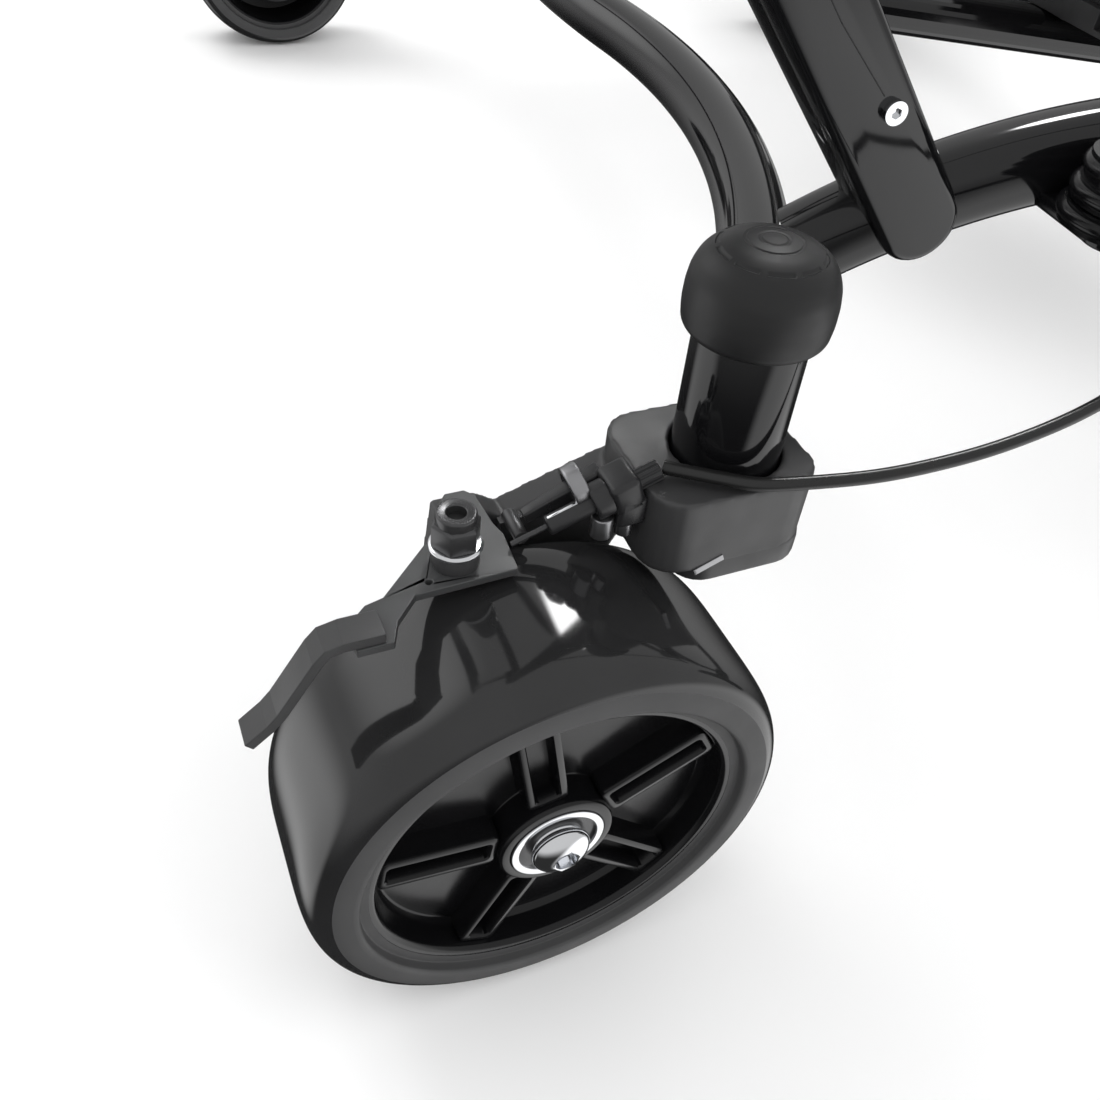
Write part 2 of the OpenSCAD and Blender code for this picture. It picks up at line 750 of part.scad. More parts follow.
module handle_frame() {
    side_dir = unit(handle_high - handle_low);
    color("#0c0c0d") from_post() {
        for (side = [-1, 1]) mirror([0, side > 0 ? 1 : 0, 0]) {
            difference() {
                union() {
                    translate(at_right(handle_low) - [0, 9, 0]) along_y() cylinder(r = 16, h = 18);
                    rod(at_right(handle_low + 15 * side_dir), at_right(handle_high), handle_r);
                }
                translate(at_right(handle_low) - [0, 20, 0])
                    along_y() cylinder(r = fold_pin_r + run_gap, h = 40);
            }
            translate(at_right(handle_high)) sphere(handle_r + 0.6);
            rod(at_right(handle_high), at_right(handle_grip), handle_r);
            translate(at_right(handle_grip)) sphere(handle_r + 0.6);
            translate(at_right(lever_pivot)) along_y() cylinder(r = 4, h = 20);
        }
        translate([handle_high[0], -handle_high[1], handle_high[2]])
            along_y() cylinder(r = 9, h = 2 * handle_high[1]);
        translate([handle_grip[0], -handle_grip[1], handle_grip[2]])
            along_y() cylinder(r = 9, h = 2 * handle_grip[1]);
    }
}

function at_right(p) = [p[0], -p[1], p[2]];

module grip() {
    color("#1a1a1a") from_post() translate([handle_grip[0], -128, handle_grip[2]])
        along_y() pipe(256, 15, 5.95);
}

module at_console() {
    from_post() translate([handle_high[0], 0, handle_high[2]]) rotate([0, -90 - console_tilt, 0]) children();
}

module console() {
    color("#1c1d1f") at_console() difference() {
        union() {
            translate([9.1, -52, -24]) cube([26, 104, 60]);
            translate([-12, -22, -14]) cube([22, 44, 28]);
        }
        translate([0, -30, 0]) along_y() cylinder(r = 9.05, h = 60);
        translate([33.2, -20, 14]) cube([4, 40, 16]);
        translate([23, -33, 2]) rotate([0, 90, 0]) cylinder(r = 4 + run_gap, h = 14);
        translate([23, 31, -6]) cube([14, 14, 14]);
    }
}

module speed_dial() {
    color("#404144") at_console() translate([0, -33, 2]) rotate([0, 90, 0]) {
        translate([0, 0, 24]) cylinder(r = 4, h = 11.4);
        translate([0, 0, 35.4]) cylinder(r = 13, h = 9);
        for (a = [0 : 30 : 330]) rotate([0, 0, a]) translate([13, 0, 35.4]) cylinder(r = 1.2, h = 8);
    }
}

module power_button() {
    color("#8c1f1f") at_console() translate([26, 31.4, -5.6]) cube([11, 13.2, 13.2]);
}

// Bail ahead of the grip: squeezing it towards the grip pulls both brake cables
module brake_lever() {
    color("#2b2c2e") from_post()
        for (side = [-1, 1]) mirror([0, side > 0 ? 1 : 0, 0])
            translate(at_right(lever_pivot) + [0, handle_r + 0.5, 0])
                rotate([0, lever_gap - grip_angle, 0]) {
                    difference() {
                        union() {
                            along_y() cylinder(r = 9, h = 6);
                            translate([0, 0, -4.5]) cube([lever_reach, 6, 9]);
                        }
                        translate([0, -1, 0]) along_y() cylinder(r = 4 + run_gap, h = 8);
                    }
                    translate([lever_reach, 0, 0])
                        along_y() cylinder(r = 6, h = lever_pivot[1] - handle_r);
                }
}

rear_cross_tube();
side_rail(-1);  // side_rail_r
side_rail(1);  // side_rail_l
centre_beam();
drive_axle_tube();
strut(-1);  // strut_r
strut(1);  // strut_l
strut_screws();
upper_cross_bar();
fold_collar(-1);  // fold_collar_r
fold_collar(1);  // fold_collar_l
head_post(-1);  // head_post_r
head_post(1);  // head_post_l
post_cap(-1);  // post_cap_r
post_cap(1);  // post_cap_l
brake_cable(-1);  // brake_cable_r
brake_cable(1);  // brake_cable_l
knuckle(-1);  // knuckle_r
knuckle(1);  // knuckle_l
axle_bolt(-1);  // axle_bolt_r
axle_bolt(1);  // axle_bolt_l
brake_plate(-1);  // brake_plate_r
brake_plate(1);  // brake_plate_l
plate_nut(-1);  // plate_nut_r
plate_nut(1);  // plate_nut_l
scraper(-1);  // scraper_r
scraper(1);  // scraper_l
cable_clamp(-1);  // cable_clamp_r
cable_clamp(1);  // cable_clamp_l
cable_adjuster(-1);  // cable_adjuster_r
cable_adjuster(1);  // cable_adjuster_l
brake_crank(-1);  // brake_crank_r
brake_crank(1);  // brake_crank_l
caster_rim(-1);  // caster_rim_r
caster_rim(1);  // caster_rim_l
caster_tyre(-1);  // caster_tyre_r
caster_tyre(1);  // caster_tyre_l
wheel_bearings(-1);  // wheel_bearings_r
wheel_bearings(1);  // wheel_bearings_l
rail_knob(-1);  // rail_knob_r
rail_knob(1);  // rail_knob_l
drive_tyre(-1);  // drive_tyre_r
drive_tyre(1);  // drive_tyre_l
drive_rim(-1);  // drive_rim_r
drive_rim(1);  // drive_rim_l
hub_cap(-1);  // hub_cap_r
hub_cap(1);  // hub_cap_l
motor(-1);  // motor_r
motor(1);  // motor_l
battery_tray();
battery();
bag_base();
bag_cradle();
handle_frame();
grip();
console();
speed_dial();
power_button();
brake_lever();
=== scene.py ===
"""Looks of the electric golf trolley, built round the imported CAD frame.

Lengths are in millimetres in the maker functions, and every mesh is scaled to metres at the end.
The trolley's own frame puts x = 0 at the caster posts; the row's origin lies POST_BACK ahead of them.
"""

import math

import bmesh
import bpy
from mathutils import Matrix, Vector


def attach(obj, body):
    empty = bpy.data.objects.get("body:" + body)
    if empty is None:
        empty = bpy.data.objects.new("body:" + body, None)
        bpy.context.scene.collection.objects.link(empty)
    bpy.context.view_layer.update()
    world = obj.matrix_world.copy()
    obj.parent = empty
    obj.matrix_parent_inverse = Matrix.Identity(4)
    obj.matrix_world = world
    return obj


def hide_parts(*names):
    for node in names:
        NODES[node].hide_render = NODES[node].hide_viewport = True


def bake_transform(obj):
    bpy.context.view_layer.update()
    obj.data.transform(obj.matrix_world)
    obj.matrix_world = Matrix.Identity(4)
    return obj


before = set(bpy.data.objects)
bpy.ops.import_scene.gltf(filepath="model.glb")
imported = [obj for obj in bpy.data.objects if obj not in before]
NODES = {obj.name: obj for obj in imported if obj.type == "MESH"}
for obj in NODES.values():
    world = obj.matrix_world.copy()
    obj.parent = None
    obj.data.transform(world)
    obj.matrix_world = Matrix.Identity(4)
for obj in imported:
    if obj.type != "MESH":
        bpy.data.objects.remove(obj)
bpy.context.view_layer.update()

MM = 0.001
SIDES = {"r": -1, "l": 1}

# Places shared with the CAD part. In trolley millimetres, the right side's at -Y:
POST_BACK = 98.0
POST_Y = 437.8
STRUT_FOOT = (80, -366, 214)
LEAN = math.radians(39)
ARCH_Z = 190.5
TUBE_R = 12.7
DRIVE_AXLE = (520, -480, 135)
KNOB_X, KNOB_Y = 134, -411
# In the caster's frame, which stands on the ground under the wheel and is turned by STEER at rest:
STEER = math.radians(7.5)
TRAIL = (66.8, 34.9)
WHEEL_R = 76.2
RIM_FACE = -7
NUT_FOOT = (-18, 28.1, 157)
CABLE_END = (37, 27.5, 173.4)
CABLE_PITCH = math.radians(20.5)


# ---------------------------------------------------------------- frames

def trolley():
    """From trolley millimetres to metres in the row's frame."""
    return Matrix.Translation((-POST_BACK * MM, 0, 0)) @ Matrix.Scale(MM, 4)


def mirrored(side):
    """The maker functions draw the right side, at -Y; the left side is its mirror image."""
    return trolley() @ (Matrix.Scale(-1, 4, (0, 1, 0)) if side > 0 else Matrix.Identity(4))


def at_caster(side):
    """Origin on the ground under a caster's wheel, +X ahead, +Y inboard, in millimetres."""
    m = trolley() @ Matrix.Translation((0, side * POST_Y, 0)) @ Matrix.Rotation(STEER, 4, "Z")
    if side > 0:
        m = m @ Matrix.Scale(-1, 4, (0, 1, 0))
    return m @ Matrix.Translation((-TRAIL[0], -TRAIL[1], 0))


def at_wheel(side):
    """The caster's frame, moved up to the middle of its wheel."""
    return at_caster(side) @ Matrix.Translation((0, 0, WHEEL_R))


def at_drive(side):
    """Origin in the middle of a drive wheel."""
    return mirrored(side) @ Matrix.Translation(DRIVE_AXLE)


# ---------------------------------------------------------------- mesh makers

def grid_faces(bm, rows, close_rows=False):
    """Faces between rings of vertices; a ring of one vertex is a pole."""
    n = len(rows)
    for i in range(n if close_rows else n - 1):
        a, b = rows[i], rows[(i + 1) % n]
        m = max(len(a), len(b))
        for k in range(m):
            k1 = (k + 1) % m
            ring = [a[k % len(a)], a[k1 % len(a)], b[k1 % len(b)], b[k % len(b)]]
            ring = [v for j, v in enumerate(ring) if v not in ring[:j]]
            if len(ring) > 2:
                bm.faces.new(ring)


def revolve(profile, steps, axis="Y", closed=False, shape=None):
    """Turns (radius, height) points about an axis; shape(r, h, angle) may move a point."""
    bm = bmesh.new()
    rows = []
    for r, h in profile:
        row = []
        for k in range(1 if r < 1e-6 else steps):
            a = 2 * math.pi * k / steps
            rr, hh = shape(r, h, a) if shape else (r, h)
            c, s = rr * math.cos(a), rr * math.sin(a)
            row.append(bm.verts.new((c, hh, s) if axis == "Y" else (c, s, hh)))
        rows.append(row)
    grid_faces(bm, rows, close_rows=closed)
    return bm


def rounded(profile, radius, steps, closed=False):
    """A polyline's corners cut to arcs, so that no edge is sharper than a real moulding's."""
    out, n = [], len(profile)
    for i, p in enumerate(profile):
        if not closed and i in (0, n - 1):
            out.append(tuple(p))
            continue
        a, b, c = Vector(profile[i - 1]), Vector(p), Vector(profile[(i + 1) % n])
        la, lc = (a - b).length, (c - b).length
        cut = min(radius, 0.45 * la, 0.45 * lc)
        if cut < 1e-4:
            out.append(tuple(p))
            continue
        p0, p1 = b + (a - b) / la * cut, b + (c - b) / lc * cut
        for k in range(steps + 1):
            t = k / steps
            out.append(tuple((1 - t) ** 2 * p0 + 2 * t * (1 - t) * b + t * t * p1))
    return out


def turned(profile, radius, corner, steps, axis="Y", closed=False):
    """revolve() of a profile with rounded corners, each of so many faces."""
    return revolve(rounded(profile, radius, corner, closed), steps, axis, closed)


def circle(r, n):
    return [(r * math.cos(2 * math.pi * k / n), r * math.sin(2 * math.pi * k / n)) for k in range(n)]


def oval(w, h, power=2.8, n=56):
    """A flattened tube's section: a power above 2 is squarer than an ellipse."""
    out = []
    for k in range(n):
        c, s = math.cos(2 * math.pi * k / n), math.sin(2 * math.pi * k / n)
        out.append((w / 2 * math.copysign(abs(c) ** (2 / power), c),
                    h / 2 * math.copysign(abs(s) ** (2 / power), s)))
    return out


def sweep(points, section, up=(0, 0, 1)):
    """A closed section carried along a path; its second coordinate stays towards up."""
    bm = bmesh.new()
    points = [Vector(p) for p in points]
    rows = []
    for i, p in enumerate(points):
        t = (points[min(i + 1, len(points) - 1)] - points[max(i - 1, 0)]).normalized()
        side = t.cross(Vector(up)).normalized()
        top = side.cross(t)
        rows.append([bm.verts.new(p + u * side + v * top) for u, v in section])
    grid_faces(bm, rows)
    bm.faces.new(rows[0][::-1])
    bm.faces.new(rows[-1])
    return bm


def loft(loops, cap_first=True):
    """Faces between closed loops of the same number of points, with a cap at the ends."""
    bm = bmesh.new()
    rows = [[bm.verts.new(p) for p in loop] for loop in loops]
    grid_faces(bm, rows)
    if cap_first:
        bm.faces.new(rows[0][::-1])
    bm.faces.new(rows[-1])
    return bm


def rounded_rect(w, h, r, n=6):
    """Corner points of a rounded rectangle centred on the origin."""
    out = []
    for cx, cy, a0 in ((1, 1, 0), (-1, 1, 90), (-1, -1, 180), (1, -1, 270)):
        for k in range(n + 1):
            a = math.radians(a0 + 90 * k / n)
            out.append((cx * (w / 2 - r) + r * math.cos(a), cy * (h / 2 - r) + r * math.sin(a)))
    return out


def soft_slab(outline, z0, z1, edge, steps=5):
    """A plate between two heights whose rims are rounded; outline is a closed loop of points."""
    low, top = [], []
    for k in range(steps + 1):
        a = math.pi / 2 * k / steps
        loop = shrink(outline, edge * (1 - math.cos(a)))
        gap = edge * (1 - math.sin(a))
        low.insert(0, [(x, y, z0 + gap) for x, y in loop])
        top.append([(x, y, z1 - gap) for x, y in loop])
    return loft(low + top)


def shrink(outline, d):
    """The outline moved inwards by d."""
    if d <= 0:
        return list(outline)
    n = len(outline)
    area = sum(outline[i][0] * outline[(i + 1) % n][1] - outline[(i + 1) % n][0] * outline[i][1]
               for i in range(n))
    turn = 1 if area > 0 else -1
    out = []
    for i, p in enumerate(outline):
        a, c = Vector(outline[i - 1]), Vector(outline[(i + 1) % n])
        b = Vector(p)
        d0, d1 = (b - a).normalized(), (c - b).normalized()
        n0, n1 = Vector((-d0.y, d0.x)) * turn, Vector((-d1.y, d1.x)) * turn
        m = n0 + n1
        m = m / max(m.length_squared / 2, 0.5)
        out.append(tuple(b + m * d))
    return out


def tidy(bm):
    """Welds points that coincide and turns all faces outwards."""
    bmesh.ops.remove_doubles(bm, verts=bm.verts, dist=1e-4)
    bmesh.ops.recalc_face_normals(bm, faces=bm.faces)
    return bm


def bevelled(bm, width, segments=2, angle=35):
    """Rounds the edges that are sharper than an angle in degrees."""
    tidy(bm)
    edges = [e for e in bm.edges if len(e.link_faces) == 2
             and e.calc_face_angle(0) > math.radians(angle)]
    bmesh.ops.bevel(bm, geom=edges, offset=width, segments=segments, profile=0.5,
                    affect="EDGES", clamp_overlap=True)
    return bm


def block(lo, hi, width=0.6):
    """A box between two corners with rounded edges."""
    bm = bmesh.new()
    bmesh.ops.create_cube(bm, size=1)
    for v in bm.verts:
        v.co = Vector([lo[i] if v.co[i] < 0 else hi[i] for i in range(3)])
    return bevelled(bm, width, 3)


def bolt_head(flats, h, chamfer=0.7):
    """Hexagon about +Z, so wide across its flats, with chamfered corners; it stands on z = 0."""
    corner = flats / 2 / math.cos(math.pi / 6)
    profile = [(0, 0), (corner, 0), (corner, h - chamfer), (corner - chamfer, h), (0, h)]
    return bevelled(revolve(profile, 6, "Z"), 0.25)


def joined(*parts):
    """One mesh of several, each kept as its own shell."""
    bm = bmesh.new()
    for p in parts:
        mesh = bpy.data.meshes.new("part")
        p.to_mesh(mesh)
        bm.from_mesh(mesh)
        bpy.data.meshes.remove(mesh)
    return bm


def moved(bm, matrix):
    bm.transform(matrix)
    return bm


def smooth_path(points, steps):
    """Catmull-Rom curve through the points."""
    out = []
    pts = [Vector(p) for p in points]
    for i in range(len(pts) - 1):
        p0, p1, p2, p3 = pts[max(i - 1, 0)], pts[i], pts[i + 1], pts[min(i + 2, len(pts) - 1)]
        for k in range(steps):
            t = k / steps
            out.append(0.5 * (2 * p1 + (p2 - p0) * t + (2 * p0 - 5 * p1 + 4 * p2 - p3) * t * t
                              + (3 * p1 - p0 - 3 * p2 + p3) * t ** 3))
    out.append(pts[-1])
    return out


# ---------------------------------------------------------------- materials

def material(name, color, rough, grain, metal=0.0, vary=0.2, spread=0.08, spec=0.5):
    """A finish: colour drifting by vary, roughness by spread, and grain as (scale per metre, strength)."""
    m = bpy.data.materials.new(name)
    m.use_nodes = True
    nodes, links = m.node_tree.nodes, m.node_tree.links
    shader = nodes["Principled BSDF"]
    shader.inputs["Metallic"].default_value = metal
    shader.inputs["Specular IOR Level"].default_value = spec
    where = nodes.new("ShaderNodeTexCoord").outputs["Object"]

    def noise(scale, detail):
        n = nodes.new("ShaderNodeTexNoise")
        n.inputs["Scale"].default_value = scale
        n.inputs["Detail"].default_value = detail
        links.new(where, n.inputs["Vector"])
        return n.outputs["Fac"]

    def ramp(fac, low, high):
        r = nodes.new("ShaderNodeMapRange")
        r.inputs["From Min"].default_value = 0.3
        r.inputs["From Max"].default_value = 0.7
        r.inputs["To Min"].default_value = low
        r.inputs["To Max"].default_value = high
        links.new(fac, r.inputs["Value"])
        return r.outputs["Result"]

    tint = nodes.new("ShaderNodeMixRGB")
    tint.inputs["Color1"].default_value = (*[c * (1 - vary) for c in color], 1)
    tint.inputs["Color2"].default_value = (*[c * (1 + vary) for c in color], 1)
    links.new(ramp(noise(38, 4), 0, 1), tint.inputs["Fac"])
    links.new(tint.outputs["Color"], shader.inputs["Base Color"])
    links.new(ramp(noise(70, 5), max(rough - spread, 0.02), rough + spread), shader.inputs["Roughness"])
    bump = nodes.new("ShaderNodeBump")
    bump.inputs["Strength"].default_value = grain[1]
    bump.inputs["Distance"].default_value = 0.0002
    links.new(noise(grain[0], 3), bump.inputs["Height"])
    links.new(bump.outputs["Normal"], shader.inputs["Normal"])
    return m


# Colour, roughness, and what departs from a plain finish
FINISHES = {
    "gloss_tube": ((0.0045, 0.0045, 0.005), 0.075, dict(vary=0.15, spread=0.02, grain=(260, 0.012))),
    "satin_black_metal": ((0.014, 0.014, 0.015), 0.34, dict(grain=(1800, 0.08))),
    "dark_casting": ((0.034, 0.034, 0.035), 0.42, dict(grain=(1500, 0.10), vary=0.12)),
    "plate_metal": ((0.05, 0.051, 0.052), 0.36, dict(metal=0.15, grain=(2400, 0.06))),
    "tread": ((0.016, 0.016, 0.0165), 0.08, dict(vary=0.12, spread=0.015, grain=(900, 0.008))),
    "sidewall": ((0.045, 0.045, 0.046), 0.62, dict(vary=0.08, spread=0.05, grain=(2600, 0.05))),
    "soft_rubber": ((0.01, 0.01, 0.0105), 0.46, dict(grain=(3000, 0.05), vary=0.12, spec=0.4)),
    "gloss_plastic": ((0.004, 0.004, 0.0045), 0.2, dict(spread=0.04, grain=(1200, 0.02), spec=0.35)),
    "matte_plastic": ((0.02, 0.02, 0.021), 0.5, dict(grain=(2200, 0.10))),
    "chrome": ((0.8, 0.81, 0.83), 0.09, dict(metal=1.0, vary=0.03, spread=0.03, grain=(500, 0.02))),
    "steel": ((0.34, 0.34, 0.35), 0.3, dict(metal=1.0, vary=0.1, grain=(1600, 0.05))),
    "dark_steel": ((0.07, 0.07, 0.072), 0.3, dict(metal=0.7, vary=0.15, grain=(1600, 0.05))),
    "cable_sheath": ((0.008, 0.008, 0.008), 0.3, dict(spread=0.04, grain=(1500, 0.03))),
    "red_plastic": ((0.35, 0.015, 0.012), 0.35, dict(grain=(1500, 0.04))),
    "foam": ((0.015, 0.015, 0.015), 0.75, dict(grain=(1100, 0.35))),
    "screen": ((0.004, 0.006, 0.008), 0.06, dict(spread=0.02, grain=(80, 0.01))),
}
MAT = {name: material(name, color, rough, **more) for name, (color, rough, more) in FINISHES.items()}


def piece(name, bm, mat, body, matrix=None, replaces=(), sharp=38, blend=None):
    """Makes an object of a mesh, in metres in the row frame, and lets it ride on a body; given blend, it is
    baked in place instead and rides on none.
    """
    matrix = matrix or trolley()
    tidy(bm)
    bm.transform(matrix)
    if matrix.determinant() < 0:
        bmesh.ops.reverse_faces(bm, faces=bm.faces)
    mesh = bpy.data.meshes.new(name)
    bm.to_mesh(mesh)
    bm.free()
    mesh.materials.append(MAT[mat])
    mesh.shade_smooth()
    mesh.set_sharp_from_angle(angle=math.radians(sharp))
    obj = bpy.data.objects.new(name, mesh)
    bpy.context.scene.collection.objects.link(obj)
    if blend:
        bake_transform(obj)
    else:
        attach(obj, body)
    if replaces:
        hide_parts(*replaces)


def dress(node, mat, bevel):
    """Keeps a CAD node, with its edges rounded by bevel millimetres, and gives it a finish."""
    obj = NODES[node]
    obj.data.materials.clear()
    obj.data.materials.append(MAT[mat])
    if bevel:
        weld = obj.modifiers.new("weld", "WELD")
        weld.merge_threshold = 1e-5
        mod = obj.modifiers.new("edges", "BEVEL")
        mod.width = bevel * MM
        mod.segments = 2
        mod.limit_method = "ANGLE"
        mod.angle_limit = math.radians(40)
        mod.harden_normals = True


# ---------------------------------------------------------------- camera and light

def add_camera():
    """The photograph's view: heading is from +Y towards +X, dip is below level."""
    eye = Vector((-128.0, -656.0, 354.1))
    heading, dip, roll = math.radians(19.62), math.radians(42.94), math.radians(6.22)
    look = Vector((math.sin(heading) * math.cos(dip), math.cos(heading) * math.cos(dip), -math.sin(dip)))
    level = look.cross(Vector((0, 0, 1))).normalized()
    steep = level.cross(look)
    right = math.cos(roll) * level + math.sin(roll) * steep
    up = math.cos(roll) * steep - math.sin(roll) * level
    cam = bpy.data.objects.new("camera", bpy.data.cameras.new("camera"))
    cam.data.sensor_width = 36
    cam.data.lens = 34.47
    cam.data.clip_start = 0.01
    rot = Matrix((right, up, -look)).transposed().to_4x4()
    cam.matrix_world = Matrix.Translation(trolley() @ eye) @ rot
    bpy.context.scene.collection.objects.link(cam)
    bpy.context.scene.camera = cam


def add_floor():
    """White ground that gloss does not reflect."""
    bm = bmesh.new()
    bmesh.ops.create_grid(bm, x_segments=1, y_segments=1, size=30)
    mesh = bpy.data.meshes.new("floor")
    bm.to_mesh(mesh)
    obj = bpy.data.objects.new("floor", mesh)
    bpy.context.scene.collection.objects.link(obj)
    m = bpy.data.materials.new("floor")
    m.use_nodes = True
    shader = m.node_tree.nodes["Principled BSDF"]
    shader.inputs["Base Color"].default_value = (0.93, 0.93, 0.93, 1)
    shader.inputs["Roughness"].default_value = 0.9
    shader.inputs["Specular IOR Level"].default_value = 0.1
    mesh.materials.append(m)
    obj.visible_glossy = False


def add_world():
    """Pale room: white to the eye and to matt surfaces; gloss sees cards and a sky that darkens downwards."""
    world = bpy.data.worlds.new("studio")
    bpy.context.scene.world = world
    world.use_nodes = True
    nodes, links = world.node_tree.nodes, world.node_tree.links
    nodes.clear()

    def math_node(op, a, b):
        n = nodes.new("ShaderNodeMath")
        n.operation = op
        for i, v in enumerate((a, b)):
            if isinstance(v, float):
                n.inputs[i].default_value = v
            else:
                links.new(v, n.inputs[i])
        return n.outputs[0]

    direction = nodes.new("ShaderNodeTexCoord").outputs["Generated"]
    total = None
    # Heading from +X, elevation, half-width and softness in degrees, and brightness
    cards = [(60, 45, 6, 1.2, 24.0), (135, 30, 15, 14, 1.2), (-35, -38, 34, 8, 1.3), (163, -30, 24, 8, 1.2)]
    for heading, elevation, width, soft, level in cards:
        h, e = math.radians(heading), math.radians(elevation)
        axis = (math.cos(h) * math.cos(e), math.sin(h) * math.cos(e), math.sin(e))
        dot = nodes.new("ShaderNodeVectorMath")
        dot.operation = "DOT_PRODUCT"
        links.new(direction, dot.inputs[0])
        dot.inputs[1].default_value = axis
        edge = nodes.new("ShaderNodeMapRange")
        edge.interpolation_type = "SMOOTHSTEP"
        edge.inputs["From Min"].default_value = math.cos(math.radians(width + soft))
        edge.inputs["From Max"].default_value = math.cos(math.radians(max(width - soft, 0)))
        edge.inputs["To Max"].default_value = level
        links.new(dot.outputs["Value"], edge.inputs["Value"])
        card = edge.outputs["Result"]
        total = card if total is None else math_node("ADD", total, card)
    # The sky's brightness goes by how far a ray points upwards
    height = nodes.new("ShaderNodeSeparateXYZ")
    links.new(direction, height.inputs[0])
    sky = nodes.new("ShaderNodeMapRange")
    sky.interpolation_type = "SMOOTHSTEP"
    sky.inputs["From Min"].default_value = -0.55
    sky.inputs["From Max"].default_value = 0.02
    sky.inputs["To Min"].default_value = 0.03
    sky.inputs["To Max"].default_value = 0.65
    links.new(height.outputs["Z"], sky.inputs["Value"])
    total = math_node("ADD", total, sky.outputs["Result"])
    gloss = nodes.new("ShaderNodeLightPath").outputs["Is Glossy Ray"]
    room = 1.12
    plain = math_node("MULTIPLY", math_node("SUBTRACT", 1.0, gloss), room)
    level = math_node("ADD", math_node("MULTIPLY", total, gloss), plain)
    background = nodes.new("ShaderNodeBackground")
    background.inputs["Color"].default_value = (1, 1, 1, 1)
    links.new(level, background.inputs["Strength"])
    out = nodes.new("ShaderNodeOutputWorld")
    links.new(background.outputs["Background"], out.inputs["Surface"])


def add_lamp(name, place, target, size, power):
    """A round lamp that gloss does not reflect; metres and watts."""
    data = bpy.data.lights.new(name, "AREA")
    data.shape = "DISK"
    data.size = size
    data.energy = power
    lamp = bpy.data.objects.new(name, data)
    lamp.location = place
    lamp.rotation_euler = (Vector(target) - Vector(place)).to_track_quat("-Z", "Y").to_euler()
    lamp.visible_glossy = False
    bpy.context.scene.collection.objects.link(lamp)


add_camera()
add_floor()
add_world()
add_lamp("key", (-1.2, 1.4, 2.6), (0, 0, 0.2), 1.6, 26)
add_lamp("fill", (1.8, -1.6, 2.2), (0, 0, 0.2), 2.0, 14)
bpy.context.scene.view_settings.view_transform = "Standard"


# ---------------------------------------------------------------- caster wheels

TYRE_HALF = 30.4
TYRE_MID = 8.6  # inboard of the wheel's middle
SHOULDER = TYRE_HALF - 0.8


def tread_radius(y):
    """Radius of the crowned tyre at y from its middle."""
    fall, power = 21.0, 5
    return WHEEL_R - fall + fall * (1 - min(abs(y / TYRE_HALF), 0.9985) ** power) ** (1 / power)


def caster_tyre_parts():
    """Profiles of the tread band and of a side wall, which starts at the shoulder."""
    n = 96
    across = [SHOULDER * math.sin(math.pi * k / n) for k in range(-n // 2, n // 2 + 1)]
    tread = [(tread_radius(y), y) for y in across]
    over = [SHOULDER + 0.75 * math.sin(math.pi / 2 * k / 12) for k in range(13)]
    side = [(tread_radius(y), y) for y in over]
    bead = [(62.0, 0.2), (61.3, 0.8), (61.0, 3.6), (58.0, 3.8)]
    side += rounded([side[-1]] + [(r, TYRE_HALF - d) for r, d in bead], 0.5, 3)[1:]
    return tread, side


def rim_spoke_mesh():
    """Raised channel: outer walls, a rounded top edge and a slot; it lies along +X and rises to -Y."""
    length, width, height, slot, depth = 36.5, 13, 8.2, 7.4, 6.4
    mid = 18.4 + length / 2

    def ring(w, l, r, y):
        return [(mid + a, y, b) for a, b in rounded_rect(l, w, r)]
    return loft([
        ring(width + 1.6, length + 1.6, 3.0, 0.6),
        ring(width + 0.5, length + 0.5, 2.6, -0.6),
        ring(width, length, 2.4, -height + 1.2),
        ring(width - 0.7, length - 0.7, 2.1, -height + 0.3),
        ring(width - 1.8, length - 1.8, 1.8, -height),
        ring(slot + 1.0, length - 4.2, 1.7, -height),
        ring(slot + 0.2, length - 5.0, 1.5, -height + 0.5),
        ring(slot - 0.4, length - 5.6, 1.3, -height + depth),
    ])


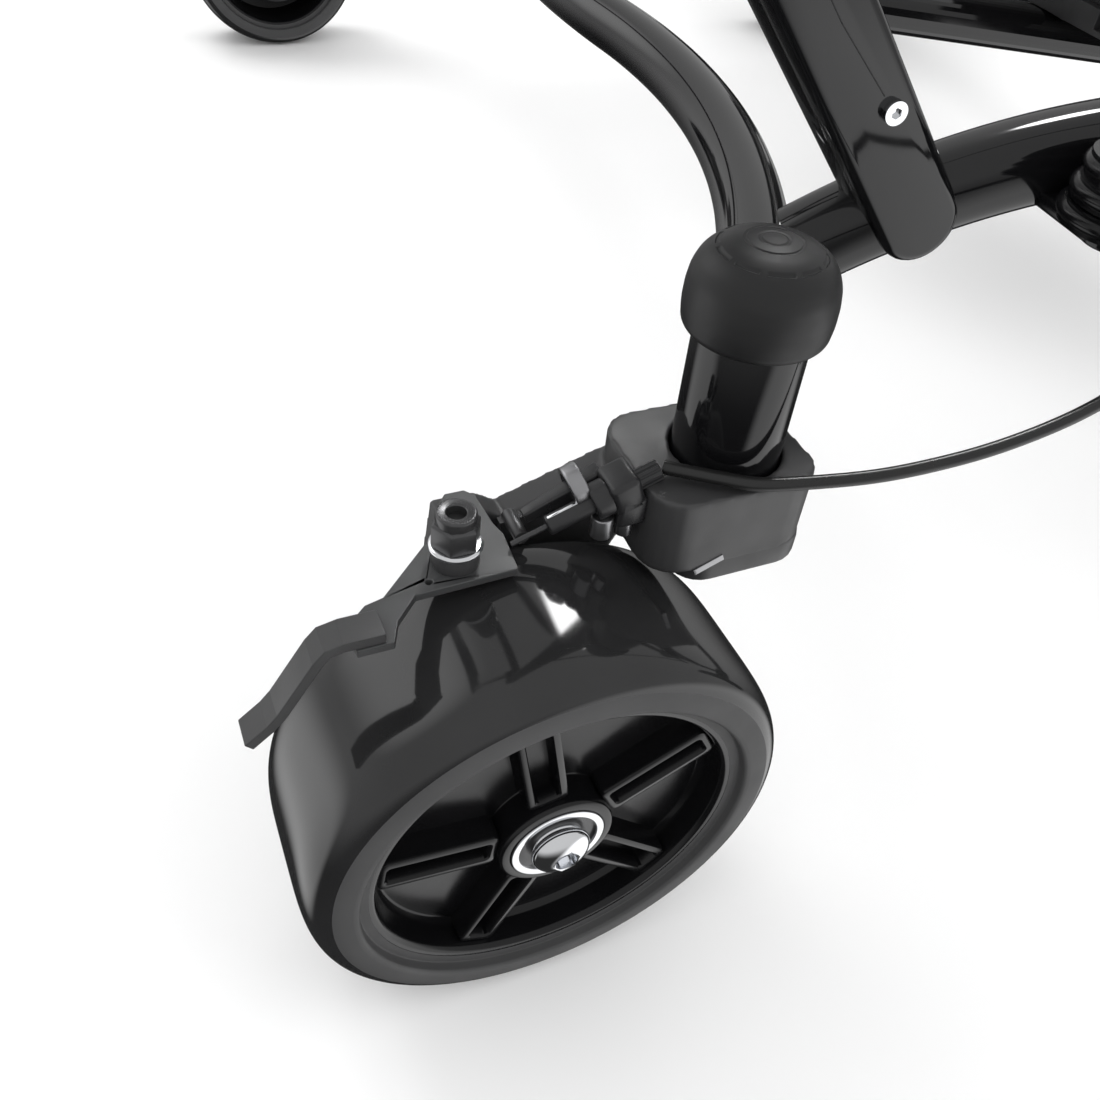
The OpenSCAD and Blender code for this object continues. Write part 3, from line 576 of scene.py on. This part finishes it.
def make_caster_wheel(s, side):
    m = at_wheel(side)
    body = "caster_wheel_" + s
    tread, wall = caster_tyre_parts()
    mid = m @ Matrix.Translation((0, TYRE_MID, 0))
    piece("caster_tread_" + s, revolve(tread, 256), "tread", body, mid, ["caster_tyre_" + s])
    both = joined(revolve(wall, 256), revolve([(r, -y) for r, y in wall], 256))
    piece("caster_sidewalls_" + s, both, "sidewall", body, mid)
    rim = turned([
        (15.05, -17.2), (15.4, -17.6), (18.0, -17.4), (18.6, -16.4), (19.0, RIM_FACE), (53.2, RIM_FACE),
        (54.6, -9), (55.4, -16.4), (56.4, -17.8), (60.9, -18.1), (60.9, 35.3), (56.4, 35), (55.2, 33),
        (54.6, -3), (38, -3), (38, 35), (34, 35), (34, -3), (19, -3), (19, 26), (13.6, 26), (13.6, 17),
        (6.2, 17), (6.2, -8.6), (15.05, -8.6)], 0.6, 3, 200, closed=True)
    for k in range(5):
        turn = Matrix.Rotation(-math.radians(100 + 72 * k), 4, "Y")
        rim = joined(rim, moved(rim_spoke_mesh(), turn @ Matrix.Translation((0, RIM_FACE, 0))))
    piece("caster_rim_" + s + "_body", rim, "gloss_plastic", body, m, ["caster_rim_" + s])
    outer = [(15, -8.8), (15, -18.1), (12.6, -18.1), (12.4, -17.2), (12.4, -8.8)]
    inner = [(8.2, -8.8), (8.2, -17.4), (7.9, -18.1), (5.05, -18.1), (5.05, -8.8)]
    far_inner = [(r, 7.6 - y) for r, y in inner]
    races = joined(turned(outer, 0.3, 3, 128, closed=True), turned(inner, 0.25, 3, 96, closed=True),
                   turned(far_inner, 0.25, 3, 96, closed=True))
    piece("bearing_races_" + s, races, "chrome", body, m, ["wheel_bearings_" + s])
    shield = [(12.5, -9.4), (12.5, -17.0), (8.1, -17.0), (8.1, -9.4)]
    far_shield = [(13.5, 17.2), (13.5, 25.7), (8.3, 25.5), (8.3, 17.2)]
    shields = joined(turned(shield, 0.15, 2, 96, closed=True), turned(far_shield, 0.3, 2, 96, closed=True))
    piece("bearing_shield_" + s, shields, "dark_steel", body, m)


def make_axle_bolt(s, side):
    """Domed head with a hexagon socket in front of the bearing, the shank, and a nut behind the arm."""
    m = at_wheel(side)
    seat, top = -18.6, -24.55
    dome = [(5.0, seat + 4), (5.0, seat), (7.4, seat), (7.4, seat - 0.3), (9.1, seat - 0.4),
            (9.35, seat - 0.9)]
    for k in range(1, 10):
        a = math.radians(8 + 60 * k / 9)
        dome.append((9.3 * math.cos(a) + 0.1, seat - 0.9 - 5.32 * math.sin(a)))
    bolt = revolve(dome + [(3.9, top)], 96)
    rings = []
    for r, y in ((4.368, top), (4.032, seat - 5.8), (3.92, seat - 2.2)):
        corners = [math.radians(60 * k + 12) for k in range(6)]
        rings.append([(r * math.cos(a), y, r * math.sin(a)) for a in corners])
    socket = loft(rings, cap_first=False)
    shank = revolve([(0, seat), (5, seat), (5, 58.9), (0, 58.9)], 64)
    nut = moved(bolt_head(14.6, 7), Matrix.Translation((0, 59, 0)) @ Matrix.Rotation(-math.pi / 2, 4, "X"))
    piece("axle_bolt_head_" + s, joined(bolt, socket, shank), "chrome", "caster_" + s, m, ["axle_bolt_" + s])
    piece("axle_bolt_nut_" + s, nut, "steel", "caster_" + s, m)


# ---------------------------------------------------------------- knuckle and brake gear

def remeshed(node, voxel, passes, name, mat, body):
    """A CAD node's shape as a soft-edged casting, from voxels of so many millimetres."""
    obj = bpy.data.objects.new(name, NODES[node].data.copy())
    bpy.context.scene.collection.objects.link(obj)
    mod = obj.modifiers.new("voxels", "REMESH")
    mod.mode = "VOXEL"
    mod.voxel_size = voxel * MM
    soft = obj.modifiers.new("soft", "SMOOTH")
    soft.factor = 0.5
    soft.iterations = passes
    bpy.context.view_layer.update()
    done = bpy.data.meshes.new_from_object(obj.evaluated_get(bpy.context.evaluated_depsgraph_get()))
    obj.modifiers.clear()
    obj.data = done
    done.materials.clear()
    done.materials.append(MAT[mat])
    done.shade_smooth()
    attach(obj, body)
    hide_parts(node)


def tapered_bar(start, end, size0, size1, up=(0, 0, 1)):
    """A bar of rounded rectangular section that narrows from start to end."""
    start, end = Vector(start), Vector(end)
    t = (end - start).normalized()
    side = t.cross(Vector(up)).normalized()
    top = side.cross(t)
    loops = []
    for k in range(9):
        f = k / 8
        w, h = (a + (b - a) * f for a, b in zip(size0, size1))
        c = start + (end - start) * f
        loops.append([c + u * side + v * top for u, v in rounded_rect(w, h, 0.2 * min(w, h), 4)])
    return bevelled(loft(loops), 0.4, 2, 60)


def make_knuckle(s, side):
    """The casting, a skirt that lowers its underside, and a bright slot in its near face."""
    m = at_caster(side)
    body = "caster_" + s
    remeshed("knuckle_" + s, 0.9, 5, "knuckle_casting_" + s, "dark_casting", body)
    outline = [(67.5 + x, 35.5 + y) for x, y in rounded_rect(43, 45, 10)]
    skirt = joined(soft_slab(outline, 139.5, 150, 2.5), block((36, 41, 140), (60, 57, 150), 2.0))
    piece("knuckle_skirt_" + s, skirt, "dark_casting", body, m)
    size = (0.7, 2.3)
    slot = tapered_bar((49.5, 13.0, 145.6), (58.5, 13.0, 149.4), size, size)
    piece("knuckle_slot_" + s, slot, "steel", body, m)


def make_plate_nut(s, side):
    """Dark barrel, a bright washer, a hexagon and a ring on top."""
    m = at_caster(side) @ Matrix.Translation(NUT_FOOT)
    body = "caster_" + s
    barrel = turned([(0, -2.5), (2.9, -2.5), (2.9, 0), (6.6, 0), (6.6, 5.2), (0, 5.2)], 0.3, 2, 96, "Z")
    piece("nut_barrel_" + s, barrel, "dark_casting", body, m, ["plate_nut_" + s])
    washer = turned([(3, 5.2), (7.3, 5.2), (7.5, 6.3), (6.8, 6.9), (3, 7)], 0.35, 3, 96, "Z", True)
    piece("nut_washer_" + s, washer, "chrome", body, m)
    hexagon = moved(bolt_head(12, 7.5), Matrix.Translation((0, 0, 7)))
    collar = turned([(2.7, 14.2), (2.7, 17.2), (5.2, 17.5), (5.6, 17), (5.6, 14.2)], 0.4, 3, 96, "Z", True)
    piece("nut_hexagon_" + s, joined(hexagon, collar), "dark_steel", body, m)


def make_clamp(s, side):
    """Where the brake cable ends: a ribbed ferrule in its holder, a bright ring, a wedge, a barrel with a
    raised chrome strip along it as a painted highlight line.
    """
    m = at_caster(side)
    body = "caster_" + s
    downwards = Matrix.Rotation(-math.pi / 2 - CABLE_PITCH, 4, "Y")
    along = m @ Matrix.Translation(CABLE_END) @ downwards
    collar = turned([(3.2, 11.8), (3.2, 17), (5, 17), (5.4, 16.4), (5.4, 11.8)], 0.4, 3, 64, "Z", True)
    holder = joined(block((-5.5, -5.5, 3), (5.5, 6.5, 12), 1.6), collar)
    piece("clamp_holder_" + s, holder, "satin_black_metal", body, along, ["cable_clamp_" + s])
    wedge = tapered_bar((27, 35, 170.5), (4, 34.4, 161.5), (5.6, 7.0), (3.2, 3.6))
    feet = joined(block((27.5, 22, 160.5), (36, 34, 170), 1.2),
                  block((26, 33, 161), (36.5, 38, 169.5), 1.0), wedge)
    piece("clamp_feet_" + s, feet, "satin_black_metal", body, m)
    ring = turned([(4.2, 0), (4.2, 4.8), (6.2, 4.8), (6.2, 0)], 0.8, 4, 96, "Z", True)
    piece("clamp_ring_" + s, ring, "steel", body, m @ Matrix.Translation((20.5, 33, 171.3)) @ downwards)
    pins = []
    for r, h, corner, foot in ((3.2, 7, 0.5, (24, 25.5, 157)), (2.6, 5, 0.4, (31.5, 26, 155.5))):
        pin = turned([(0, 0), (r, 0), (r, h), (0, h)], corner, 3, 64, "Z")
        pins.append(moved(pin, Matrix.Translation(foot)))
    piece("clamp_pins_" + s, joined(*pins), "steel", body, m)

    def ribs(r, h, a):
        return r - (0.25 if r > 3 and math.cos(12 * a) < -0.2 else 0), h
    grip = rounded([(0, -4), (3.1, -4), (3.15, 8), (0, 8)], 0.5, 3)
    ferrule = revolve(grip, 144, "Z", shape=ribs)
    barrel = turned([(0, 8), (2.9, 8), (2.9, 30.6), (1.6, 31), (0, 31)], 0.4, 3, 96, "Z")
    # A raised chrome strip along the barrel: a painted highlight line where the barrel shines, not a real
    # slit.
    highlight_strip = block((2.2, -0.45, 18), (3.02, 0.45, 30), 0.15)
    wire = revolve([(0, 30), (0.8, 30), (0.8, 41.8), (0, 42)], 24, "Z")
    piece("adjuster_barrel_" + s, joined(ferrule, barrel), "satin_black_metal", body, along,
          ["cable_adjuster_" + s])
    piece("adjuster_highlight_strip_" + s, highlight_strip, "chrome", body, along)
    piece("adjuster_wire_" + s, wire, "dark_steel", body, along)


# The brake cable's middle line from the caster to the strut, in trolley millimetres on the left side
CABLE_ROUTE = [
    (0, 460, 175.2), (14, 462.7, 176), (33, 464.7, 177.2), (51, 464.9, 179), (69, 464.5, 182),
    (88, 462.6, 186), (105, 459.6, 190.5), (125, 455, 198), (146, 448, 210), (163, 438, 228),
    (171, 427, 252), (166, 416, 278), (148, 407, 302), (116, 399, 324), (76, 393, 340), (34, 387, 352),
    (0, 384, 359), (-26, 381.4, 364), (-42, 377, 366)]


def make_cable(s, side):
    """Brake cable from the clamp on the caster along its route to the strut, baked in place in one piece on
    no body.
    """
    back = 5.3
    x, y, z = CABLE_END
    end = Vector((x + back * math.cos(CABLE_PITCH), y, z + back * math.sin(CABLE_PITCH)))
    first = trolley().inverted() @ at_caster(side) @ end
    route = [Vector((x, side * y, z)) for x, y, z in CABLE_ROUTE]
    middle = (first + route[0]) / 2 + Vector((2, side * 2, 0.4))
    path = smooth_path([first, middle] + route, 10)
    # The two points stand one over the other; piece() only checks that blend is given and does not read them
    fixed = trolley() @ Vector((160, side * 440, 230))
    moving = trolley() @ Vector((160, side * 440, 177))
    piece("brake_cable_sheath_" + s, sweep(path, circle(2.0, 24)), "cable_sheath", "frame",
          replaces=["brake_cable_" + s], blend=("frame", "caster_" + s, tuple(fixed), tuple(moving)))


# ---------------------------------------------------------------- posts and caps

def make_post(s, side):
    """Open tube with a rubber cap over its end; the cap's top is moulded with arcs and rings."""
    m = trolley() @ Matrix.Translation((0, side * POST_Y, 0))
    wall = [(13.8, 160.6), (15.4, 160.6), (16, 161.2), (16, 214), (13.8, 214)]
    post = turned(wall, 0.3, 2, 128, "Z", True)
    piece("post_tube_" + s, post, "gloss_tube", "frame", m, ["head_post_" + s])
    dome = rounded([(16.3, 211), (18.6, 211), (19.9, 212.6), (20.4, 217), (20.3, 222), (19.6, 226.5),
                    (18, 230.2), (15.4, 233), (11.6, 235), (7, 236.2), (3, 236.6)], 1.6, 5)
    outline = [(16.1, 211.2)] + dome + [(0, 236.7)]
    dense = []
    for (r0, h0), (r1, h1) in zip(outline, outline[1:]):
        n = max(1, int(math.hypot(r1 - r0, h1 - h0) / 0.28))
        dense += [(r0 + (r1 - r0) * k / n, h0 + (h1 - h0) * k / n) for k in range(n)]
    dense.append(outline[-1])

    def moulded(r, h, a):
        depth = 0.0
        if h > 224:
            part = (math.degrees(a) + 15) % 36  # ten arcs, with gaps between them
            if 13.6 < r < 14.4 and 4 < part < 32:
                depth = 0.28
            if 7.3 < r < 7.9:
                depth = 0.25
            if 3.6 < r < 4.1 and h > 230:
                depth = 0.2
        return r - depth * 0.3, h - depth
    piece("post_cap_" + s + "_rubber", revolve(dense, 288, "Z", shape=moulded), "soft_rubber", "frame", m,
          ["post_cap_" + s])


# ---------------------------------------------------------------- frame tubes

def arc_points(cx, cy, r, a0, a1, n):
    """Points on a level arc at the arch's height, between angles in degrees."""
    angles = [math.radians(a0 + (a1 - a0) * k / n) for k in range(n + 1)]
    return [Vector((cx + r * math.cos(a), cy + r * math.sin(a), ARCH_Z)) for a in angles]


def cross_tube_path():
    """From the right post to the middle: straight, ahead and inwards, then a bend and a counter-bend."""
    heading, straight, bend_r, counter = math.radians(27), 60.7, 394, 11
    leave, end = math.radians(counter), -POST_Y + straight * math.cos(heading)
    cx = straight * math.sin(heading) - bend_r * math.cos(heading)
    cy = end + bend_r * math.sin(heading)
    ex, ey = cx + bend_r * math.cos(leave), cy + bend_r * math.sin(leave)
    wide_r = -ey / math.sin(leave)
    runs = [9, 15.4] + [straight * k / 6 for k in range(2, 6)]
    line = [Vector((d * math.sin(heading), d * math.cos(heading) - POST_Y, ARCH_Z)) for d in runs]
    bend = arc_points(cx, cy, bend_r, -27, counter, 60)
    return line + bend + arc_points(ex + wide_r * math.cos(leave), 0, wide_r, 180 + counter, 180, 24)[1:]


def make_cross_tube():
    half = cross_tube_path()
    whole = half + [Vector((p.x, -p.y, p.z)) for p in half[-2::-1]]
    piece("arch_tube", sweep(whole, circle(TUBE_R, 48)), "gloss_tube", "frame", replaces=["rear_cross_tube"])


def rail_path():
    """Up and outwards from the cross tube, level along the trolley, then down to the drive axle."""
    x0, y0, z0 = 38, -358, 179
    pitch, rise_r, yaw = math.radians(38), 274, math.radians(10.5)
    bend_r = 150
    level = z0 + rise_r * (1 - math.cos(pitch))
    out = []
    for k in range(41):
        p = pitch * (1 - k / 40)
        d = rise_r * (math.sin(pitch) - math.sin(p))
        out.append((x0 + d * math.cos(yaw), y0 - d * math.sin(yaw),
                    z0 + rise_r * (math.cos(p) - math.cos(pitch))))
    tx, ty = out[-1][:2]
    for k in range(1, 13):
        a = yaw * (1 - k / 12)
        out.append((tx + bend_r * (math.sin(yaw) - math.sin(a)),
                    ty - bend_r * (math.cos(a) - math.cos(yaw)), level))
    y2 = out[-1][1]
    drop = math.radians(45)
    fall = level - DRIVE_AXLE[2] - bend_r * (1 - math.cos(drop))
    x3 = DRIVE_AXLE[0] - bend_r * math.sin(drop) - fall / math.tan(drop)
    for k in range(31):
        a = drop * k / 30
        out.append((x3 + bend_r * math.sin(a), y2, level - bend_r * (1 - math.cos(a))))
    short = 37
    last = fall / math.sin(drop) - short
    out.append(tuple(Vector(out[-1]) + last * Vector((math.cos(drop), 0, -math.sin(drop)))))
    return out


def make_rail(s, side):
    """Flattened tube with an ear on its outer side and a stud for the clamp knob."""
    m = mirrored(side)
    r, low, top = 11, 214, 219
    bracket = block((KNOB_X - r, KNOB_Y, low), (KNOB_X + r, -369, top), 1.0)
    ear = turned([(0, low), (r, low), (r, top), (0, top)], 0.8, 3, 64, "Z")
    stud = revolve([(0, top), (5, top), (5, 234.6), (4.4, 235), (0, 235)], 48, "Z")
    fitting = moved(joined(ear, stud), Matrix.Translation((KNOB_X, KNOB_Y, 0)))
    rail = joined(sweep(rail_path(), oval(24, 28)), bracket, fitting)
    piece("side_rail_tube_" + s, rail, "gloss_tube", "frame", m, ["side_rail_" + s])


def make_strut(s, side):
    """Tube with a flat, round-ended shell on its outer side, and a seam; the screw stays the CAD node's."""
    m = mirrored(side) @ Matrix.Translation(STRUT_FOOT) @ Matrix.Rotation(-LEAN, 4, "Y")
    top, face, r, n = 322, 16.2, 13.4, 18
    tube = sweep([(0, 0, -4), (0, 0, top)], oval(28, 24), up=(0, 1, 0))
    end = [(r * math.cos(math.pi * k / n), -8 - r * math.sin(math.pi * k / n)) for k in range(n + 1)]
    upright = Matrix.Rotation(math.pi / 2, 4, "X")
    shell = moved(soft_slab([(r, top)] + end + [(-r, top)], 4.0, face, 3.2), upright)
    piece("strut_shell_" + s, joined(tube, shell), "gloss_tube", "frame", m, ["strut_" + s], sharp=50)
    line = [(x, -face + 0.02, z) for x, z in ((0.5, 318), (0.5, 120), (1.5, 70), (4.4, 42))]
    seam = sweep(line, circle(0.22, 8), up=(0, 1, 0))
    piece("strut_seam_" + s, seam, "matte_plastic", "frame", m)


# ---------------------------------------------------------------- drive wheels and console

def make_drive_tyre(s, side):
    """Tyre with a rib round the middle and slanted lugs on both sides of it."""
    half, radius, fall = 28.0, DRIVE_AXLE[2], 24.0
    profile = []
    for k in range(-40, 41):
        t = math.sin(math.pi * k / 80) * 0.995
        profile.append((radius - fall + fall * (1 - abs(t) ** 3.4) ** (1 / 3.4), half * t))
    bead = [(107, 26), (105.6, 25.4), (104, 24.6), (102, 24.6)]
    profile += bead + [(r, -y) for r, y in reversed(bead)]

    def lugs(r, h, a):
        if r < 116:
            return r, h
        around = (math.degrees(a) + abs(h) * 0.22 + (4.5 if h > 0 else 0)) % 9  # degrees to a lug
        groove = 3.5 < abs(h) and around < 2.6 or 2.2 < abs(h) < 4.2
        return r - (2.4 if groove else 0), h
    tyre = revolve(profile, 720, closed=True, shape=lugs)
    piece("drive_tyre_tread_" + s, tyre, "sidewall", "drive_wheel_" + s, at_drive(side), ["drive_tyre_" + s])


def make_screen():
    """Blank glass in the console's window."""
    m = trolley() @ Matrix.Translation((-385, 0, 815)) @ Matrix.Rotation(math.radians(-100), 4, "Y")
    piece("console_screen", block((33.4, -19.4, 14.6), (34.6, 19.4, 29.4), 0.3), "screen", "handle", m)


# ---------------------------------------------------------------- build

for s, side in SIDES.items():
    make_caster_wheel(s, side)
    make_axle_bolt(s, side)
    make_knuckle(s, side)
    make_post(s, side)
    make_rail(s, side)
    make_strut(s, side)
    make_plate_nut(s, side)
    make_clamp(s, side)
    make_cable(s, side)
    make_drive_tyre(s, side)
make_cross_tube()
make_screen()

# CAD nodes that are kept, with their finishes: pairs, then single ones
PAIR_LOOKS = {
    "brake_plate": "plate_metal", "scraper": "dark_casting", "brake_crank": "dark_steel",
    "rail_knob": "gloss_plastic", "drive_rim": "gloss_plastic", "hub_cap": "matte_plastic",
    "motor": "satin_black_metal", "fold_collar": "matte_plastic",
}
SINGLE_LOOKS = {
    "centre_beam": "gloss_tube", "drive_axle_tube": "gloss_tube", "strut_screws": "chrome",
    "upper_cross_bar": "gloss_tube", "battery_tray": "matte_plastic", "battery": "matte_plastic",
    "bag_base": "matte_plastic", "bag_cradle": "matte_plastic", "handle_frame": "gloss_tube",
    "grip": "foam", "console": "matte_plastic", "speed_dial": "matte_plastic",
    "power_button": "red_plastic", "brake_lever": "satin_black_metal",
}
for stem, mat in PAIR_LOOKS.items():
    for s in SIDES:
        dress(f"{stem}_{s}", mat, 0 if stem == "rail_knob" else 0.35)
for node, mat in SINGLE_LOOKS.items():
    dress(node, mat, 0 if node in ("handle_frame", "centre_beam") else 0.5)
